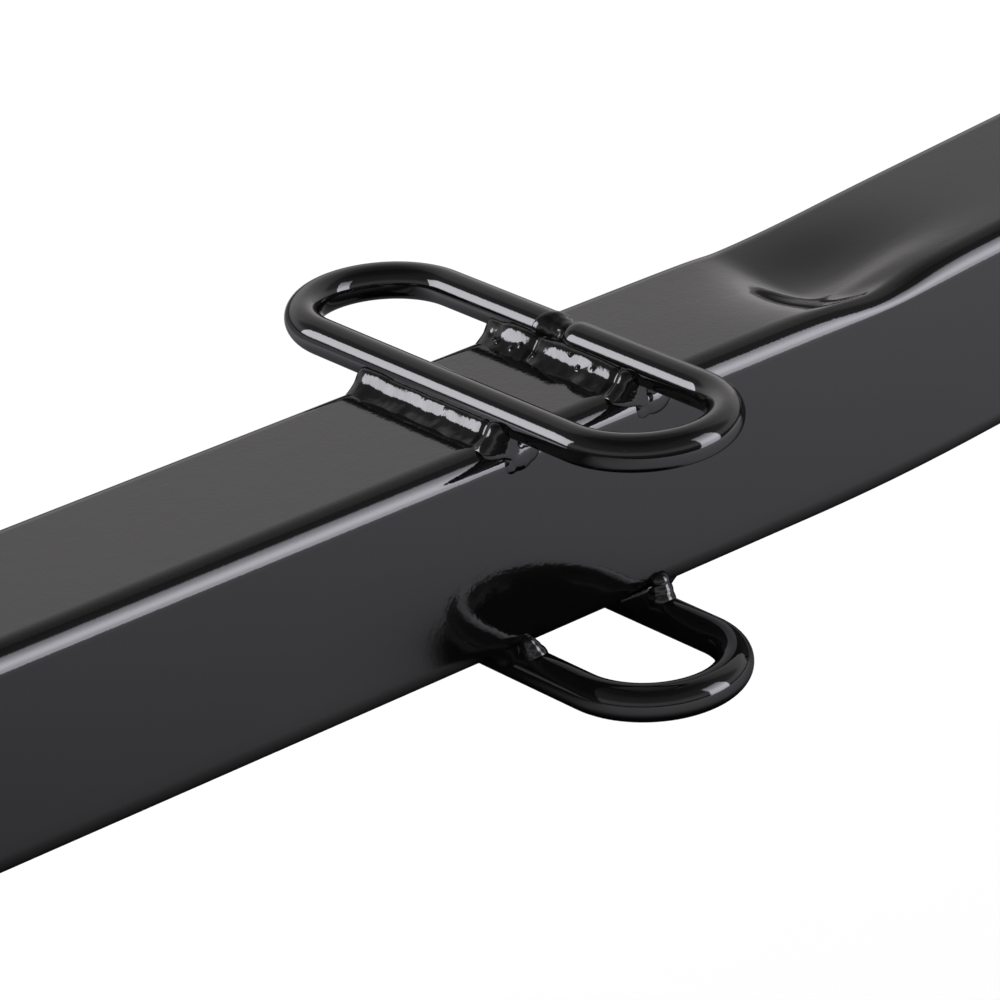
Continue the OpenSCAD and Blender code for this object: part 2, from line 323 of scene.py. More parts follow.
def pin_cut(obj, at, w, place):
    """Cuts the pin hole across both walls, with a slightly eased rim."""
    r = PIN_HOLE / 2
    wide = r + PIN_EASE + PAST
    profile = [(-w / 2 - PAST, wide), (-w / 2 + PIN_EASE, r), (w / 2 - PIN_EASE, r), (w / 2 + PAST, wide)]
    verts = []
    for y, reach in profile:
        for i in range(PIN_STEPS):
            a = 2 * math.pi * i / PIN_STEPS
            verts.append(place(at + reach * math.cos(a), y, reach * math.sin(a), 0))
    cutter = new_mesh("cutter", verts, capped_skin(PIN_STEPS, len(profile)))
    face_outwards(cutter.data)
    cut = obj.modifiers.new("cut", "BOOLEAN")
    cut.object = cutter
    cut.operation = "DIFFERENCE"
    cut.solver = "EXACT"
    baked(obj)
    bpy.data.objects.remove(cutter)


def main_tube_skin():
    """The bent tube, from the shank's end to where it ends inside the receiver."""
    shank_end = -BEND_HALF - BEND_START - SHANK_TAIL
    rise_end = BEND_HALF + TUBE_END_AT - BEND_TANGENT
    dish_from = -DISH_BEFORE - DISH_ROWS_BEFORE
    dish_to = -DISH_BEFORE + DISH_ROWS_AFTER
    stations = spread(shank_end, dish_from - STEP_GAP, PLAIN_STEP)
    stations += spread(dish_from, dish_to, DISH_STEP)
    stations += spread(dish_to + STEP_GAP, rise_end, PLAIN_STEP)
    bore = (TUBE_W - 2 * TUBE_WALL, TUBE_INNER_CORNER)
    tube = tube_shell("main_tube_skin", bent_place, (TUBE_W, TUBE_CORNER), bore,
                      sorted(set(round(s, 4) for s in stations)), flats=56, arcs=14)
    pin_cut(tube, 0, TUBE_W, flat_place)
    crisp(tube)
    return tube


def receiver_skin():
    """The square receiver over the tube's raised end."""
    stations = spread(RECEIVER_AT + PLAIN_STEP / 2, MOUTH_AT - PLAIN_STEP / 2, PLAIN_STEP)
    receiver = tube_shell("receiver_skin", rise_place, (RECEIVER_W, RECEIVER_CORNER),
                          (RECEIVER_BORE, RECEIVER_INNER_CORNER), [RECEIVER_AT] + stations + [MOUTH_AT])
    pin_cut(receiver, RISE, RECEIVER_W, rise_place)
    crisp(receiver)
    return receiver


def collar_skin():
    """The wider collar around the receiver's mouth."""
    collar = tube_shell("collar_skin", rise_place, (COLLAR_W, COLLAR_INNER_CORNER + COLLAR_WALL),
                        (COLLAR_BORE, COLLAR_INNER_CORNER),
                        [COLLAR_AT, (COLLAR_AT + MOUTH_AT) / 2, MOUTH_AT])
    crisp(collar)
    return collar


tubes = []
for node_name, make in (("main_tube", main_tube_skin), ("receiver_tube", receiver_skin),
                        ("receiver_collar", collar_skin)):
    tube = make()
    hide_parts(node_name)
    tubes.append(tube)


# The loops

# Spacing of the bar's rings, its sides, and the angle of an edge that stays sharp
BAR_STEP = 2.0
BAR_SIDES = 48
ARC_STEPS = 48
ROUND_STEPS = 10
BAR_CREASE = 50


def loop_path():
    """Centre line of the open loop, from the butt joint's left end round to its
    right end, as (x, y, tangent x, tangent y)."""
    path = []

    def arc(middle, start):
        for i in range(ARC_STEPS + 1):
            a = start + math.pi * i / ARC_STEPS
            path.append((BAR_X * math.cos(a), middle + BAR_X * math.sin(a), -math.sin(a), math.cos(a)))

    for y in spread(BUTT_Y + BUTT_GAP, BAR_HALF, BAR_STEP)[:-1]:
        path.append((BAR_X, y, 0.0, 1.0))
    arc(BAR_HALF, 0.0)
    for y in spread(BAR_HALF, -BAR_HALF, -BAR_STEP)[1:-1]:
        path.append((-BAR_X, y, 0.0, -1.0))
    arc(-BAR_HALF, math.pi)
    for y in spread(-BAR_HALF, BUTT_LOW - BUTT_ROUND, BAR_STEP)[1:]:
        path.append((BAR_X, y, 0.0, 1.0))
    return path


def loop_bar(name, turn):
    """Round bar swept along the loop, its right end rounded off at the butt joint.
    turn is -1 for the loop under the tube."""
    rings = []

    def ring(x, y, tx, ty, r):
        around = (2 * math.pi * i / BAR_SIDES for i in range(BAR_SIDES))
        rings.append([(LOOP_X + x + ty * r * math.cos(t), y - tx * r * math.cos(t),
                       turn * (SEAT_Z + r * math.sin(t))) for t in around])

    path = loop_path()
    for x, y, tx, ty in path:
        ring(x, y, tx, ty, ROD_R)
    x, y, tx, ty = path[-1]
    for k in range(1, ROUND_STEPS + 1):
        a = math.radians(90 * k / ROUND_STEPS)
        ring(x, y + BUTT_ROUND * math.sin(a), tx, ty, ROD_R - BUTT_SINK * (1 - math.cos(a)))
    faces = capped_skin(BAR_SIDES, len(rings))
    obj = new_mesh(name, [p for r in rings for p in r], faces if turn > 0 else turned(faces))
    crisp(obj, BAR_CREASE)
    return obj


loops = []
for row, turn in ROWS:
    loop = loop_bar(f"{row}_loop_bar", turn)
    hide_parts(f"{row}_chain_loop")
    loops.append(loop)


# The welds

def icosphere(halvings):
    """Points and faces of a ball of radius 1: an icosahedron, halved and rounded."""
    t = (1 + 5 ** 0.5) / 2
    verts = [(-1, t, 0), (1, t, 0), (-1, -t, 0), (1, -t, 0), (0, -1, t), (0, 1, t),
             (0, -1, -t), (0, 1, -t), (t, 0, -1), (t, 0, 1), (-t, 0, -1), (-t, 0, 1)]
    verts = [tuple(c / math.sqrt(1 + t * t) for c in v) for v in verts]
    faces = [(0, 11, 5), (0, 5, 1), (0, 1, 7), (0, 7, 10), (0, 10, 11), (1, 5, 9), (5, 11, 4),
             (11, 10, 2), (10, 7, 6), (7, 1, 8), (3, 9, 4), (3, 4, 2), (3, 2, 6), (3, 6, 8),
             (3, 8, 9), (4, 9, 5), (2, 4, 11), (6, 2, 10), (8, 6, 7), (9, 8, 1)]
    for _ in range(halvings):
        middles, fresh = {}, []

        def mid(a, b):
            key = (min(a, b), max(a, b))
            if key not in middles:
                m = [(verts[a][i] + verts[b][i]) / 2 for i in range(3)]
                length = math.sqrt(sum(c * c for c in m))
                verts.append(tuple(c / length for c in m))
                middles[key] = len(verts) - 1
            return middles[key]

        for a, b, c in faces:
            ab, bc, ca = mid(a, b), mid(b, c), mid(c, a)
            fresh += [(a, ab, ca), (b, bc, ab), (c, ca, bc), (ab, bc, ca)]
        faces = fresh
    return verts, faces


BALL_VERTS, BALL_FACES = icosphere(3)


def melted(name, balls, voxel, smooth, fillets=()):
    """Melts balls, as (centre, radii), and closed fillets into one skin."""
    verts, faces = [], []
    pieces = [([tuple(centre[k] + v[k] * radii[k] for k in range(3)) for v in BALL_VERTS], BALL_FACES)
              for centre, radii in balls]
    for more_verts, more_faces in pieces + list(fillets):
        base = len(verts)
        verts += more_verts
        faces += [tuple(base + i for i in f) for f in more_faces]
    obj = new_mesh(name, verts, faces)
    melt = obj.modifiers.new("melt", "REMESH")
    melt.mode = "VOXEL"
    melt.voxel_size = voxel * MM
    melt.use_smooth_shade = True
    calm = obj.modifiers.new("calm", "SMOOTH")
    calm.factor = 0.5
    calm.iterations = smooth
    baked(obj)
    smooth_shade(obj.data)
    return obj


# The noise that roughens a skin: its place by seed, and its finer second layer
SEED_SHIFT = (13.7, 5.1, 9.3)
FINE_SHARE = 0.2
FINE_SCALE = 2.3


def roughen(mesh, rough, grain, seed):
    """Moves each point along its normal by noise of about rough, with waves of
    about grain."""
    count = len(mesh.vertices)
    co = np.empty(count * 3, np.float32)
    mesh.vertices.foreach_get("co", co)
    co = co.reshape(-1, 3)
    normals = np.empty(count * 3, np.float32)
    mesh.vertices.foreach_get("normal", normals)
    normals = normals.reshape(-1, 3)
    shift = Vector([seed * step for step in SEED_SHIFT])
    for i in range(count):
        p = Vector([float(c) for c in co[i] / MM]) / grain + shift
        d = noise.noise(p) + FINE_SHARE * noise.noise(p * FINE_SCALE + shift)
        co[i] += normals[i] * (d * rough * MM)
    mesh.vertices.foreach_set("co", co.ravel())
    mesh.update()


def corner_drop(y, w, corner):
    """How far a square bar's face has fallen away at y, over its round corner."""
    over = clamp(abs(y) - (w / 2 - corner), 0, corner)
    return corner - math.sqrt(corner * corner - over * over)


def curve_through(points, steps):
    """Smooth line through points, steps pieces between each pair."""
    out = []
    for i in range(len(points) - 1):
        p0, p1 = points[max(i - 1, 0)], points[i]
        p2, p3 = points[i + 1], points[min(i + 2, len(points) - 1)]
        for k in range(steps):
            t = k / steps
            out.append(tuple(
                0.5 * (2 * b + (c - a) * t + (2 * a - 5 * b + 4 * c - d) * t * t
                       + (3 * b - a - 3 * c + d) * t ** 3)
                for a, b, c, d in zip(p0, p1, p2, p3)))
    out.append(tuple(points[-1]))
    return out


# A loop weld's outline, out from the bar's middle and up from the tube's face,
# and the hidden points that close it under the bar and inside the tube's wall
FILLET = [(3.6, 4.3), (4.9, 4.25), (5.5, 3.85), (6.2, 2.95), (6.9, 1.9), (7.7, 1.2), (8.6, 0.6),
          (9.5, 0.1), (10.4, -0.4)]
HIDDEN_TOE = 9.6
HIDDEN_TOE_OUT = 0.4
HIDDEN_ROOT = 1.5
HIDDEN_DEPTH = -1.5
HIDDEN_TOP = 3.4
# Its spacing of rings, and how it shrinks over its last stretch, towards its root
FILLET_STEP = 0.3
FILLET_END = 2.4
FILLET_ROOT = 3.0
END_SIZE = 0.3
END_HEIGHT = 0.35
# Share of the round corner's fall that its upper edge follows, as its toe follows all
TOP_FALL = 0.25
# How far its toe wanders and its face swells, and how long each wave is
TOE_WANDER = 0.9
TOE_WAVE = 5.0
SWELL = 0.7
LONG_LUMP = 1.5
LONG_WAVE = 5.5
LONG_ACROSS = 1.3
SHORT_LUMP = 0.7
SHORT_WAVE = 1.9
SHORT_ACROSS = 4.0


def fillet_loft(lo, hi, seed, uneven, swells, proud):
    """Closed skin of a fillet weld from y lo to y hi, in the frame of FILLET.
    uneven is how much its face swells and sinks by itself, swells are (y, half
    width, outward, upward) bulges along its run, proud how much later than the
    tube it turns down over the tube's front corner."""
    outline = curve_through(FILLET, 4)
    rings = []
    total = int((hi - lo) / FILLET_STEP)
    for k in range(total + 1):
        y = lo + (hi - lo) * k / total
        over = max(0.0, FILLET_END - min(y - lo, hi - y)) / FILLET_END
        size = max(END_SIZE, math.sqrt(max(0.0, 1 - over * over)))
        height = END_HEIGHT + (1 - END_HEIGHT) * size
        drop = corner_drop(min(y + proud, 0.0) if y < 0 else y, TUBE_W, TUBE_CORNER)
        toe = TOE_WANDER * noise.noise(Vector((y / TOE_WAVE, seed, 3.0)))
        fat = crown = 0.0
        for at, width, outward, upward in swells:
            part = math.exp(-((y - at) / width) ** 4)
            fat += outward * part
            crown += upward * part
        ring = []
        for i, (x, z) in enumerate(outline):
            t = i / (len(outline) - 1)
            long_lump = LONG_LUMP * noise.noise(Vector((y / LONG_WAVE, t * LONG_ACROSS, seed)))
            ripple = noise.noise(Vector((y / SHORT_WAVE, t * SHORT_ACROSS, seed + 7.0)))
            short_lump = SHORT_LUMP * ripple * t
            out = SWELL * (fat + uneven * (long_lump + short_lump)) * 4 * t * (1 - t)
            px = FILLET_ROOT + (x - FILLET_ROOT + out + toe * t * t) * size
            fall = drop * (TOP_FALL + (1 - TOP_FALL) * t)
            pz = (z + out + crown * (1 - t) ** 2) * height - fall
            ring.append((px, y, pz))
        low = HIDDEN_DEPTH - drop
        ring += [(HIDDEN_TOE * size + HIDDEN_TOE_OUT, y, low), (HIDDEN_ROOT, y, low)]
        ring.append((HIDDEN_ROOT, y, HIDDEN_TOP * size))
        rings.append(ring)
    return [p for r in rings for p in r], capped_skin(len(rings[0]), len(rings))


# How far a bead stays off the tube's back side, how it is melted, and how
# proud of the front corner one stands that runs past it
BEAD_SHORT = 0.9
BEAD_VOXEL = 0.27
BEAD_SMOOTH = 5
SEED_STEP = 3.1
PROUD = 2.0


def loop_bead(name, turn, bar, side, seed, lumps, swells, uneven, short):
    """Fillet weld beside a loop's bar. bar is -1 for the bar nearer the shank, side
    the side of the bar it lies on, and short how far it stays off the tube's front
    side: one that runs past it, with short below 0, also stands proud of the corner."""
    lo, hi = -TUBE_W / 2 + short, TUBE_W / 2 - BEAD_SHORT
    verts, faces = fillet_loft(lo, hi, seed * SEED_STEP, uneven, swells, PROUD if short < 0 else 0.0)

    def put(x, y, z):
        return (LOOP_X + bar * BAR_X + side * x, y, turn * (TUBE_W / 2 + z))

    balls = []
    for x, y, z, r, *squash in lumps:
        balls.append((put(x, y, z), [r * share for share in squash or (1, 1, 1)]))
    verts = [put(*v) for v in verts]
    fillet = (verts, turned(faces) if side * turn > 0 else faces)
    return melted(name, balls, BEAD_VOXEL, BEAD_SMOOTH, [fillet])


# Lumps of a weld, as (out, along, up, radius) and, where they are flattened, a
# share of the radius each way: the drops at the tube's front corner
NEAR_CORNER = [(0.5, -24.7, -4.0, 4.5, 1, 0.34, 0.8), (3.0, -24.9, -5.2, 2.4, 1, 0.4, 1),
               (-2.2, -24.9, -3.4, 3.0, 1, 0.42, 1)]
FAR_CORNER = [(-1.5, -24.7, -4.0, 4.6, 1, 0.34, 0.7), (2.2, -24.9, -4.8, 2.4, 1, 0.4, 1),
              (-4.0, -24.9, -3.2, 2.6, 1, 0.42, 1)]
NEAR_INNER = [(3.6, -22.2, 0.6, 2.2), (1.6, -24.0, -1.2, 1.9)]
FAR_OUTER = [(2.4, -23.4, -0.8, 2.4), (0.8, -23.9, -0.6, 2.4)]
SPATTER = [(7.3, 9.5, 2.0, 0.5), (7.9, 4.6, 1.7, 0.5), (6.0, -6.0, 3.9, 0.45), (7.2, -9.5, 2.0, 0.5),
           (8.4, 11.5, 1.1, 0.45), (6.6, -14.0, 2.8, 0.5), (8.0, 17.5, 1.6, 0.55), (8.3, 16.4, 1.4, 0.4)]
# The drops where the lower loop's bars leave the tube's bottom front corner
LOW_NEAR = [(1.0, -25.0, -1.9, 2.0), (0.6, -25.5, -0.4, 2.5), (0.0, -26.0, 1.3, 3.0)]
LOW_FAR = [(0.3, -25.0, -3.2, 2.6), (0.3, -25.4, -1.0, 3.0), (0.0, -26.0, 1.2, 3.4)]
# Swells along a weld, as fillet_loft takes them
NEAR_RUN = [(-23.5, 2.0, 1.0, 0.5), (-20.5, 1.0, -0.35, -0.2), (18.0, 5.0, 0.25, 0.4)]
FAR_RUN = [(-23.8, 2.0, 1.0, 0.5), (-20.9, 1.0, -0.4, -0.25), (12.4, 5.0, 0.5, 0.7),
           (5.9, 0.8, -0.45, -0.3), (-7.5, 12.0, 0.35, 0.6)]
PLAIN_RUN = [(-8.0, 4.0, 0.3, 0.2), (9.0, 3.0, -0.2, 0.2)]

# Upper welds, as loop_bead takes them from bar on
UPPER_BEADS = {
    "shank_bar_outer": (-1, -1, 11, NEAR_CORNER, NEAR_RUN, 0.16, -0.6),
    "shank_bar_inner": (-1, 1, 12, NEAR_INNER, PLAIN_RUN, 0.2, 2.0),
    "receiver_bar_inner": (1, -1, 13, FAR_CORNER + SPATTER, FAR_RUN, 0.2, -0.6),
    "receiver_bar_outer": (1, 1, 14, FAR_OUTER, PLAIN_RUN, 0.2, 2.0),
}
# Lower welds: their lumps, and how far they stay off the tube's front side
LOWER_BEADS = {
    "shank_bar_outer": (LOW_NEAR, 2.0),
    "shank_bar_inner": ([], 7.5),
    "receiver_bar_inner": ([], -0.3),
    "receiver_bar_outer": (LOW_FAR, 2.0),
}
LOWER_SEED = 20

beads = []
for row, turn in ROWS:
    for key, (bar, side, seed, lumps, swells, uneven, short) in UPPER_BEADS.items():
        if row == "lower":
            lumps, short = LOWER_BEADS[key]
            swells = PLAIN_RUN
            seed += LOWER_SEED
        bead = loop_bead(f"{row}_{key}_bead", turn, bar, side, seed, lumps, swells, uneven, short)
        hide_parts(f"{row}_{key}_weld")
        beads.append(bead)


# A butt weld: where its left edge ends and how it leans round the bar, the
# valley at its right end, its crown, the lip it ends in, and its folds
BUTT_SIDES = 96
BUTT_STEPS = 44
BUTT_EDGE = 7.2
BUTT_LEAN = 1.9
BUTT_HIDDEN = 1.2
VALLEY_SHARE = 0.9
VALLEY_CURVE = 1.25
CROWN = 0.34
CROWN_AT = 0.8
CROWN_SPAN = 0.22
LIP = 0.5
LIP_SLOPE = 0.9
LIP_DROP = 0.15
FOLD = 0.2
FOLD_ROUND = 1.6
FOLD_ALONG = 0.55


def butt_bead(name, turn):
    """Weld closing the joint in a loop's bar: flush with the bar's left end and
    sunk like a valley where it meets the rounded right end."""
    rings = []
    lo = BUTT_LOW - BUTT_HIDDEN
    for k in range(BUTT_STEPS + 1):
        ring = []
        for i in range(BUTT_SIDES):
            t = 2 * math.pi * i / BUTT_SIDES
            edge = BUTT_EDGE - BUTT_LEAN * math.sin(t)
            y = lo + (edge + LIP - lo) * k / BUTT_STEPS
            s = clamp((y - BUTT_LOW) / (edge - BUTT_LOW), 0.0, 1.0)
            valley = BUTT_SINK * VALLEY_SHARE * (1 - s) ** VALLEY_CURVE
            r = ROD_R - valley + CROWN * bell(s - CROWN_AT, CROWN_SPAN)
            if y > edge:
                r -= LIP_SLOPE * (y - edge) + LIP_DROP
            place = Vector((math.sin(t) * FOLD_ROUND, math.cos(t) * FOLD_ROUND, y * FOLD_ALONG))
            r += FOLD * noise.noise(place) * (1 - s * s)
            ring.append((LOOP_X + BAR_X + r * math.sin(t), y, turn * (SEAT_Z + r * math.cos(t))))
        rings.append(ring)
    faces = capped_skin(BUTT_SIDES, len(rings))
    obj = new_mesh(name, [p for r in rings for p in r], turned(faces) if turn > 0 else faces)
    crisp(obj, BAR_CREASE)
    return obj


for row, turn in ROWS:
    bead = butt_bead(f"{row}_butt_bead", turn)
    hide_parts(f"{row}_butt_weld")
    beads.append(bead)


# Weld runs of the receiver and its collar: how short of the side's ends they
# stay, their drops' size, place and flatness, and the roughness of their skin
SEAM_SHORT = 2.6
SEAM_TAPER = 3.0
DROP_R = 2.65
DROP_BACK = 1.75
DROP_UP = 1.75
DROP_FLAT = 0.75
SEAM_VOXEL = 0.4
SEAM_SMOOTH = 3
SEAM_ROUGH = 0.12
SEAM_GRAIN = 2.4
RECEIVER_SEED = 51
COLLAR_SEED = 61


def seam_bead(name, at, w, corner, degrees, seed):
    """Stacked-drop weld run on one face, along the back edge of the wider part."""
    draw = random.Random(seed)
    reach = w / 2 - SEAM_SHORT
    cs, sn = math.cos(math.radians(degrees)), math.sin(math.radians(degrees))
    drops = []
    y = -reach
    while y < reach:
        end = clamp((reach - abs(y)) / SEAM_TAPER, 0.3, 1)
        r = (DROP_R + draw.uniform(-0.15, 0.2)) * (0.75 + 0.25 * end)
        x = -DROP_BACK + draw.uniform(-0.15, 0.15)
        z = DROP_UP - corner_drop(y, w, corner) + draw.uniform(-0.1, 0.15)
        v = w / 2 + z
        centre = rise_place(at + x, y * cs - v * sn, y * sn + v * cs)
        flat = DROP_FLAT * r
        drops.append((centre, (r, flat, r) if degrees % 180 == 0 else (r, r, flat)))
        y += draw.uniform(1.7, 2.1)
    bead = melted(name, drops, SEAM_VOXEL, SEAM_SMOOTH)
    roughen(bead.data, SEAM_ROUGH, SEAM_GRAIN, seed)
    return bead


for i, (face, degrees) in enumerate((("top", 0), ("left", 90), ("bottom", 180), ("right", 270))):
    for word, at, w, corner, seed in (("receiver", RECEIVER_AT, TUBE_W, TUBE_CORNER, RECEIVER_SEED),
                                      ("collar", COLLAR_AT, RECEIVER_W, RECEIVER_CORNER, COLLAR_SEED)):
        bead = seam_bead(f"{word}_{face}_bead", at, w, corner, degrees, seed + i)
        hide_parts(f"{word}_{face}_weld")
        beads.append(bead)


# Nodes of a material or of the room

def node(tree, kind, **settings):
    new = tree.nodes.new(kind)
    for key, value in settings.items():
        setattr(new, key, value)
    return new


def math_node(tree, operation, *values):
    """Each value is a number or another node's output."""
    new = node(tree, "ShaderNodeMath", operation=operation)
    for value, socket in zip(values, new.inputs):
        if isinstance(value, (int, float)):
            socket.default_value = value
        else:
            tree.links.new(value, socket)
    return new.outputs[0]


def map_range(tree, value, lo, hi, out_lo=0.0, out_hi=1.0, kind="SMOOTHSTEP"):
    new = node(tree, "ShaderNodeMapRange", interpolation_type=kind)
    tree.links.new(value, new.inputs["Value"])
    for key, number in (("From Min", lo), ("From Max", hi), ("To Min", out_lo), ("To Max", out_hi)):
        new.inputs[key].default_value = number
    return new.outputs["Result"]


def colour_ramp(tree, value, stops):
    """Colour by value from 0 to 1; stops are (value, colour)."""
    new = node(tree, "ShaderNodeValToRGB")
    elements = new.color_ramp.elements
    while len(elements) < len(stops):
        elements.new(0.5)
    for element, (at, colour) in zip(elements, stops):
        element.position = at
        element.color = (*colour, 1)
    tree.links.new(value, new.inputs["Fac"])
    return new.outputs["Color"]


def grey_ramp(tree, value, stops, full):
    """Level by value from 0 to 1; stops are (value, level), full the largest level."""
    shares = [(at, (level / full,) * 3) for at, level in stops]
    return math_node(tree, "MULTIPLY", colour_ramp(tree, value, shares), full)


# The even sheen

# The coat mirrors the share SHEEN of what it faces at every angle but the
# grazing ones, so no side of the object washes out
COAT_IOR = 1.5
SHEEN = 0.12
FULL_LEVEL = 0.08
GRAZING = 80


def mirrored(degrees, ior):
    """Share of the light that a clear coat mirrors at an angle off its normal."""
    straight = math.cos(math.radians(degrees))
    bent = math.sqrt(1 - (math.sin(math.radians(degrees)) / ior) ** 2)
    across = (straight - ior * bent) / (straight + ior * bent)
    along = (ior * straight - bent) / (ior * straight + bent)
    return (across ** 2 + along ** 2) / 2


def even_ior(degrees):
    """Refraction index with which the coat mirrors SHEEN at an angle, by halving."""
    lo, hi = 1.0, 4.0
    for _ in range(40):
        middle = (lo + hi) / 2
        if mirrored(degrees, middle) < SHEEN:
            lo = middle
        else:
            hi = middle
    return hi


def even_level(degrees):
    """Specular level that has that refraction index; level 1 is FULL_LEVEL face on."""
    ior = even_ior(degrees)
    return ((ior - 1) / (ior + 1)) ** 2 / FULL_LEVEL


def brighter(degrees):
    """How much more a plain coat mirrors at an angle than the even one does."""
    return mirrored(degrees, COAT_IOR) / mirrored(degrees, even_ior(min(degrees, GRAZING)))


# Specular level by the facing factor, with the rims a little brighter again
EVEN_SHEEN = [(1 - math.cos(math.radians(d)), even_level(d))
              for d in (0, 25, 36, 45, 52, 57, 61, 64, 67, 70, 72, 74, 76, 78, 80)]
EVEN_SHEEN += [(0.861, 0.04), (0.895, 0.1), (0.93, 0.25), (1.0, 0.5)]
FULL_SHEEN = 1.5
# Level of the room that makes up for it on the photo's side, by cos squared of
# the angle at which a surface mirrors that part of the room towards the photo
SHEEN_LIGHT = [(math.cos(math.radians(d)) ** 2, brighter(d))
               for d in (90, 88, 86, 84, 82, 80, 77, 74, 70, 65, 60, 55, 50, 45, 40, 33, 25, 0)]
FULL_SHEEN_LIGHT = 3.5


# The paint

# Its colours, the scales of its noises, and the heights of its waves in metres
DARK_COAT = (0.0026, 0.0026, 0.0029)
PALE_COAT = (0.0036, 0.0035, 0.0036)
CLOUD_SCALE = 28.0
SPECK = (0.02, 0.019, 0.018)
SPECK_SCALE = 160.0
SPECK_EDGE = 0.02
HAZE_SCALE = 60.0
FINE_PEEL = 0.00004
FINE_PEEL_SCALE = 900.0
WIDE_PEEL = 0.00012
WIDE_PEEL_SCALE = 190.0
RIPPLE = 0.0003


def paint(name, rough, peel, dust, ripple, ripple_scale):
    """Gloss black coat: slight orange peel, faint cloudiness and a few specks.
    dust is the specks' size, ripple the strength of its finer waves."""
    mat = bpy.data.materials.new(name)
    mat.use_nodes = True
    tree = mat.node_tree
    link = tree.links.new
    shader = tree.nodes["Principled BSDF"]
    coords = node(tree, "ShaderNodeTexCoord").outputs["Object"]

    def noise_at(scale, detail=2.0):
        new = node(tree, "ShaderNodeTexNoise")
        new.inputs["Scale"].default_value = scale
        new.inputs["Detail"].default_value = detail
        link(coords, new.inputs["Vector"])
        return new.outputs["Fac"]

    cloud = colour_ramp(tree, noise_at(CLOUD_SCALE), [(0.3, DARK_COAT), (0.7, PALE_COAT)])
    specks = node(tree, "ShaderNodeTexVoronoi")
    specks.inputs["Scale"].default_value = SPECK_SCALE
    link(coords, specks.inputs["Vector"])
    dot = colour_ramp(tree, specks.outputs["Distance"],
                      [(dust, (1, 1, 1)), (dust + SPECK_EDGE, (0, 0, 0))])
    mix = node(tree, "ShaderNodeMix", data_type="RGBA")
    link(dot, mix.inputs["Factor"])
    link(cloud, mix.inputs[6])
    mix.inputs[7].default_value = (*SPECK, 1)
    link(mix.outputs[2], shader.inputs["Base Color"])

    roughness = map_range(tree, noise_at(HAZE_SCALE), 0.0, 1.0, rough * 0.8, rough * 1.25, "LINEAR")
    link(roughness, shader.inputs["Roughness"])

    normal = None
    for strength, distance, height in ((peel, FINE_PEEL, noise_at(FINE_PEEL_SCALE, 1.0)),
                                       (peel, WIDE_PEEL, noise_at(WIDE_PEEL_SCALE, 1.0)),
                                       (ripple, RIPPLE, noise_at(ripple_scale))):
        bump = node(tree, "ShaderNodeBump")
        bump.inputs["Strength"].default_value = strength
        bump.inputs["Distance"].default_value = distance
        link(height, bump.inputs["Height"])
        if normal:
            link(normal, bump.inputs["Normal"])
        normal = bump.outputs["Normal"]
    link(normal, shader.inputs["Normal"])

    shader.inputs["IOR"].default_value = COAT_IOR
    facing = node(tree, "ShaderNodeLayerWeight")
    facing.inputs["Blend"].default_value = 0.5
    sheen = grey_ramp(tree, facing.outputs["Facing"], EVEN_SHEEN, FULL_SHEEN)
    link(sheen, shader.inputs["Specular IOR Level"])
    return mat


tube_paint = paint("tube_paint", rough=0.06, peel=0.1, dust=0.03, ripple=0.028, ripple_scale=900.0)
rod_paint = paint("rod_paint", rough=0.045, peel=0.15, dust=0.02, ripple=0.015, ripple_scale=900.0)
weld_paint = paint("weld_paint", rough=0.075, peel=0.3, dust=0.05, ripple=0.26, ripple_scale=470.0)


def finish_piece(obj, mat):
    face_outwards(obj.data)
    obj.data.materials.clear()
    obj.data.materials.append(mat)
    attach(obj, "root")


for pieces, mat, slot in ((tubes, tube_paint, "tube"), (loops, rod_paint, "rod"),
                          (beads, weld_paint, "weld")):
    for piece in pieces:
        finish_piece(piece, mat)


# The studio

# Where the photo was taken from: degrees, millimetres, and pixels of its width
PHOTO_AZIMUTH = -129.7136
PHOTO_ELEVATION = 25.0371
PHOTO_ROLL = -3.2298
PHOTO_AT = (-437.71, -798.16, 482.64)
PHOTO_FOCAL = 5157.94
PHOTO_WIDTH = 1000

# Levels of the room and of its two soft boxes, as (elevation, level)
ROOM = [(-90, 0.1), (-16, 0.15), (-3, 0.26), (4.5, 0.28), (5.5, 1.0), (11, 0.98), (18, 0.88), (24, 0.74),
        (28, 0.68), (34, 0.65), (41, 0.58), (47, 0.5), (53, 0.42), (57, 0.34), (62, 0.22), (90, 0.12)]
FRONT_BOX = [(-90, 0), (-16, 0), (-13.5, 5.3), (-9, 5.4), (-1, 6.3), (8, 8.3), (16, 8.3), (24, 6.4),
             (32, 4.3), (39, 3.1), (44, 0.0), (90, 0)]
BACK_BOX = [(-90, 0), (3.5, 0), (6, 7.0), (10, 8.6), (30.5, 8.9), (33.5, 0), (90, 0)]
FULL_BOX = 9.0
FRONT_BOX_AZIMUTH = -52.3
BACK_BOX_AZIMUTH = 135.0
BOX_EDGE = (14.0, 12.0)
# The room is dimmer low down, away from one azimuth, and dimmer higher up, beyond the wall
LOW_AZIMUTH = 40.0
LOW_EDGE = (8.5, 12.5)
LOW_HEIGHTS = (-8.0, 23.0)
LOW_DIMMING = 0.66
WALL_AZIMUTH = 45.0
WALL_EDGE = (46.0, 62.0)
WALL_HEIGHTS = (14.0, 30.0)
WALL_DIMMING = 0.6
ROOM_TINT = (1.02, 0.985, 1.0)
FRONT_TINT = (1.0, 0.99, 1.09)
BACK_TINT = (1.0, 0.985, 1.05)


